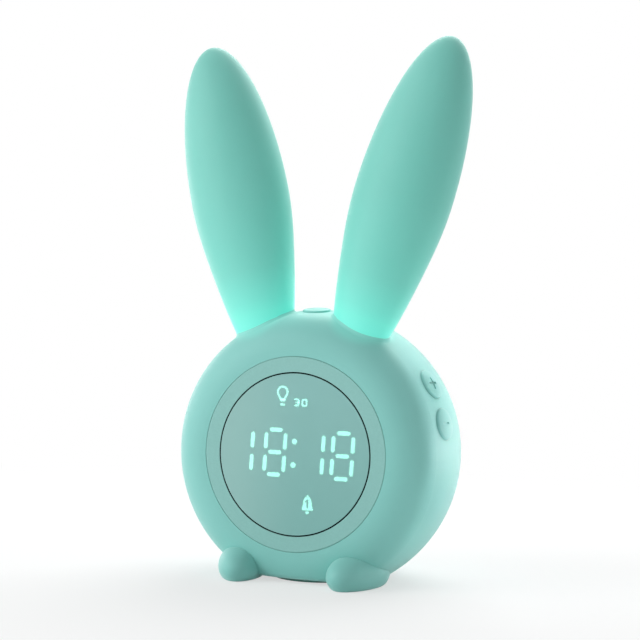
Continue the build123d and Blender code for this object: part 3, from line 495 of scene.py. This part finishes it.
for name, left, side in (("plus_key", False, 1), ("minus_key", False, -1), ("mode_key", True, 1),
                         ("alarm_key", True, -1)):
    offset = side * keys["pitch"] / 2
    matrix = keyMatrix(left, offset)
    bm = bmesh.new()
    rise, crown = (keys["flushRise"], keys["flushCrown"]) if left else (keys["rise"], keys["crown"])
    pillow(bm, keys["radius"], rise, min(keys["edge"], rise + keys["flushWall"]), crown, offset)
    bmesh.ops.transform(bm, matrix=matrix, verts=bm.verts)
    piece = finishPiece("pillow_" + name, bm, "body_silicone", body=name, replaced=(name,))
    bm = bmesh.new()
    cutDeep = keys["cutDeep"]
    floor = sqrt(ball["radius"] ** 2 - offset ** 2) + rise + crown - keys["sunk"]
    aim = Matrix.Translation((0, 0, floor)) @ Matrix.Rotation(-asin(offset / ball["radius"]), 4, "X")
    aim = aim @ Matrix.Translation((-keys["towardFace"], 0, cutDeep))
    if name in ("plus_key", "minus_key"):
        wide = keys["sign"] * (1 if name == "plus_key" else keys["minusShare"])
        addSlab(bm, wide, keys["line"], cutDeep, keys["corner"], aim)
    if name == "plus_key":  # the second slab lies a hair higher, so that no two faces share a plane
        addSlab(bm, keys["line"], wide, cutDeep, keys["corner"], aim @ Matrix.Translation((0, 0, 0.001)))
    if name in ("mode_key", "alarm_key"):
        made = bmesh.ops.create_cone(bm, cap_ends=True, segments=pillowSteps["dimple"],
                                     radius1=keys["dimple"], radius2=keys["dimple"], depth=cutDeep)
        bmesh.ops.transform(bm, matrix=aim @ Matrix.Translation((keys["towardFace"], 0, -cutDeep / 2)),
                            verts=made["verts"])
    cutWith(piece, bm, matrix, keys["soft"])
    smoothByAngle(piece)

bm = bmesh.new()
pillow(bm, topKey["radius"], topKey["rise"], topKey["edge"], topKey["crown"], -topKey["forward"])
bmesh.ops.translate(bm, vec=(0, -topKey["forward"], ball["centre"]), verts=bm.verts)
piece = finishPiece("pillow_top_button", bm, "body_silicone", body="top_button", replaced=("top_button",))
smoothByAngle(piece)
print("keys: pillows with sunk signs")

# the cover runs up to each ear in a soft lip; rootHalf is the ear's half width at its root, flat its
# depth over its width, and flare and taper how fast it widens above the root and narrows below
lip = {"reach": 1.3, "rows": 8, "around": 96, "turn": -6.0, "rootHalf": 10.5, "flat": 25.7 / 34.9,
       "flare": 0.25, "taper": 0.15, "under": 0.05, "sunk": 0.6, "lowest": -12.0, "highest": 14.0,
       "halvings": 40, "stepUp": 0.1, "stepRound": 0.01}
earX = (Vector((1, 0, 0)) - earAxis * earAxis.x).normalized()
earY = earAxis.cross(earX)
earX, earY = (earX * cos(radians(lip["turn"])) + earY * sin(radians(lip["turn"])),
              earY * cos(radians(lip["turn"])) - earX * sin(radians(lip["turn"])))
ballMiddle = Vector((0, 0, ball["centre"]))
coverMesh = nodes["body_cover"].data
coverTree = BVHTree.FromPolygons([v.co / mm for v in coverMesh.vertices],
                                 [p.vertices[:] for p in coverMesh.polygons])


def coverReach(out):
    # from the ball's middle to the cover's outside in one direction
    hit = coverTree.ray_cast(ballMiddle + out * 2 * ball["radius"], -out)[0]
    return (hit - ballMiddle).length


def earPoint(angle, rise):
    # on the ear's side, rise mm along the ear from its root
    half = lip["rootHalf"] + rise * (lip["flare"] if rise > 0 else lip["taper"])
    return (earRoot / mm + earAxis * rise + earX * (half * cos(angle))
            + earY * (half * lip["flat"] * sin(angle)))


def lipSection(angle):
    # points from the ear down to the ball in one hollow curve, and back inside
    low, high = lip["lowest"], lip["highest"]
    for i in range(lip["halvings"]):
        rise = (low + high) / 2
        fromMiddle = earPoint(angle, rise) - ballMiddle
        if fromMiddle.length < min(ball["radius"], coverReach(fromMiddle.normalized())):
            low = rise
        else:
            high = rise
    meet = earPoint(angle, rise)
    stepUp, stepRound = lip["stepUp"], lip["stepRound"]
    up = (earPoint(angle, rise + stepUp) - earPoint(angle, rise - stepUp)).normalized()
    across = (earPoint(angle + stepRound, rise) - earPoint(angle - stepRound, rise)).normalized()
    earOut = across.cross(up)
    ballOut = (meet - ballMiddle).normalized()
    away = (earOut - ballOut * earOut.dot(ballOut)).normalized()
    top = meet + up * lip["reach"] - earOut * lip["under"]
    footOut = (meet + away * lip["reach"] - ballMiddle).normalized()
    foot = ballMiddle + footOut * (coverReach(footOut) - lip["under"])
    curve = []
    for i in range(lip["rows"] + 1):
        t = i / lip["rows"]
        curve.append(top * (1 - t) ** 2 + meet * (2 * t * (1 - t)) + foot * t ** 2)
    return curve + [meet - (earOut + ballOut) * lip["sunk"], curve[0]]


bm = bmesh.new()
made = bmesh.ops.create_grid(bm, x_segments=lip["around"], y_segments=lip["rows"] + 2, size=1)
sections = [lipSection(2 * pi * i / lip["around"]) for i in range(lip["around"])]
for v in made["verts"]:
    column = round((v.co.x + 1) / 2 * lip["around"]) % lip["around"]
    v.co = sections[column][round((v.co.y + 1) / 2 * (lip["rows"] + 2))]
bmesh.ops.remove_doubles(bm, verts=bm.verts, dist=0.0001)
other = bmesh.ops.duplicate(bm, geom=bm.verts[:] + bm.edges[:] + bm.faces[:])
bmesh.ops.scale(bm, vec=(-1, 1, 1), verts=[g for g in other["geom"] if isinstance(g, bmesh.types.BMVert)])
bmesh.ops.recalc_face_normals(bm, faces=bm.faces)
smoothByAngle(finishPiece("earLips", bm, "body_silicone"), 60)
print("lips at the ear roots")

# the cover's tucked edge closes the seam round the bezel a little below the face
seam = {"outer": 32.7, "inner": 32.2, "depth": 0.16, "thick": 0.3, "sides": 128}
bm = bmesh.new()
made = bmesh.ops.create_circle(bm, cap_ends=True, segments=seam["sides"], radius=seam["outer"])
middle = made["verts"][0].link_faces[0]
ring = bmesh.ops.inset_region(bm, faces=[middle], thickness=seam["outer"] - seam["inner"], use_boundary=True)
bmesh.ops.delete(bm, geom=[middle], context="FACES")
bmesh.ops.solidify(bm, geom=ring["faces"], thickness=seam["thick"])
bmesh.ops.recalc_face_normals(bm, faces=bm.faces)
bmesh.ops.transform(bm, matrix=facePlace(0, 0, seam["depth"] + seam["thick"]), verts=bm.verts)
finishPiece("tuckedEdge", bm, "body_silicone", smooth=False)

# camera: level with the ball's top, in front and round towards the plus and minus keys; lens in mm
view = {"place": (197.962, -479.200, 84.934), "right": (0.92297127, 0.38379006, 0.02879632),
        "up": (-0.0241718, -0.01686841, 0.9995655), "forward": (-0.38410905, 0.92326629, 0.00629216),
        "lens": 84.375, "frame": 36, "near": 0.01, "far": 20}
camera = bpy.data.objects.new("camera", bpy.data.cameras.new("camera"))
scene.collection.objects.link(camera)
axes = Matrix((view["right"], view["up"], [-c for c in view["forward"]])).transposed().to_4x4()
camera.matrix_world = Matrix.Translation(Vector(view["place"]) * mm) @ axes
camera.data.lens, camera.data.sensor_width = view["lens"], view["frame"]
camera.data.clip_start, camera.data.clip_end = view["near"], view["far"]
scene.camera = camera

# white paper under the clock, in metres: near the clock it keeps the shadow, further off it turns
# into the plain white of the backdrop
sweep = {"radius": 4, "sides": 96, "colour": (0.86, 0.86, 0.86, 1), "near": 0.10, "far": 0.40, "least": 0.6}
bm = bmesh.new()
bmesh.ops.create_circle(bm, cap_ends=True, segments=sweep["sides"], radius=sweep["radius"])
mesh = bpy.data.meshes.new("paperFloor")
bm.to_mesh(mesh)
bm.free()
paper = bpy.data.objects.new("paperFloor", mesh)
scene.collection.objects.link(paper)
material, tree, shader = newMaterial("whitePaper", Roughness=0.9, Base_Color=sweep["colour"])
place = addNode(tree, "ShaderNodeTexCoord").outputs["Object"]
away = addNode(tree, "ShaderNodeVectorMath", {0: place}, operation="LENGTH")
plainShare = addNode(tree, "ShaderNodeMapRange", {"Value": away.outputs["Value"]},
                     {"From Min": sweep["near"], "From Max": sweep["far"], "To Min": sweep["least"]},
                     interpolation_type="SMOOTHSTEP")
share = addNode(tree, "ShaderNodeMath", {0: seenPlainly(tree), 1: plainShare.outputs["Result"]},
                operation="MULTIPLY")
white = addNode(tree, "ShaderNodeEmission", values={"Color": (1, 1, 1, 1), "Strength": 1.0})
mix = addNode(tree, "ShaderNodeMixShader",
              {"Fac": share.outputs[0], 1: shader.outputs[0], 2: white.outputs[0]})
tree.links.new(mix.outputs[0], tree.nodes["Material Output"].inputs["Surface"])
mesh.materials.append(material)

# soft boxes in metres: place, size, watts, spread in degrees, point they aim at
lamps = {
    "topBackBox": ((0.03, 0.42, 0.62), (0.7, 0.5), 4.6, 180, (0, 0, 0.07)),
    "leftBackBox": ((-0.70, 0.34, 0.12), (0.5, 0.4), 1.4, 180, (0, 0, 0.07)),
    "frontLeftBox": ((-0.85, -0.75, 0.55), (0.8, 0.8), 7.8, 180, (0, 0, 0.07)),
    "rightSideBox": ((0.82, 0.26, 0.02), (0.5, 0.3), 1.1, 180, (0, 0, 0.07)),
    "rightBackGrid": ((0.58, 0.62, 0.06), (0.3, 0.04), 0.035, 8, (0.03, -0.01, 0.055)),
}
for name, (place, size, power, spread, aim) in lamps.items():
    lamp = bpy.data.objects.new(name, bpy.data.lights.new(name, "AREA"))
    scene.collection.objects.link(lamp)
    lamp.data.shape, lamp.data.size, lamp.data.size_y, lamp.data.energy = "RECTANGLE", *size, power
    lamp.data.spread = radians(spread)
    lamp.location = place
    lamp.rotation_euler = (Vector(aim) - Vector(place)).to_track_quat("-Z", "Y").to_euler()

# the room's even light; seen plainly, its walls are white
roomLight = 0.30
world = bpy.data.worlds.new("studio")
world.use_nodes = True
scene.world = world
tree = world.node_tree
strength = addNode(tree, "ShaderNodeMapRange", {"Value": seenPlainly(tree)},
                   {"To Min": roomLight, "To Max": 1.0})
tree.links.new(strength.outputs["Result"], tree.nodes["Background"].inputs["Strength"])
tree.nodes["Background"].inputs["Color"].default_value = (1, 1, 1, 1)
scene.view_settings.view_transform = "Standard"
print("studio: camera, paper and", len(lamps), "lamps")
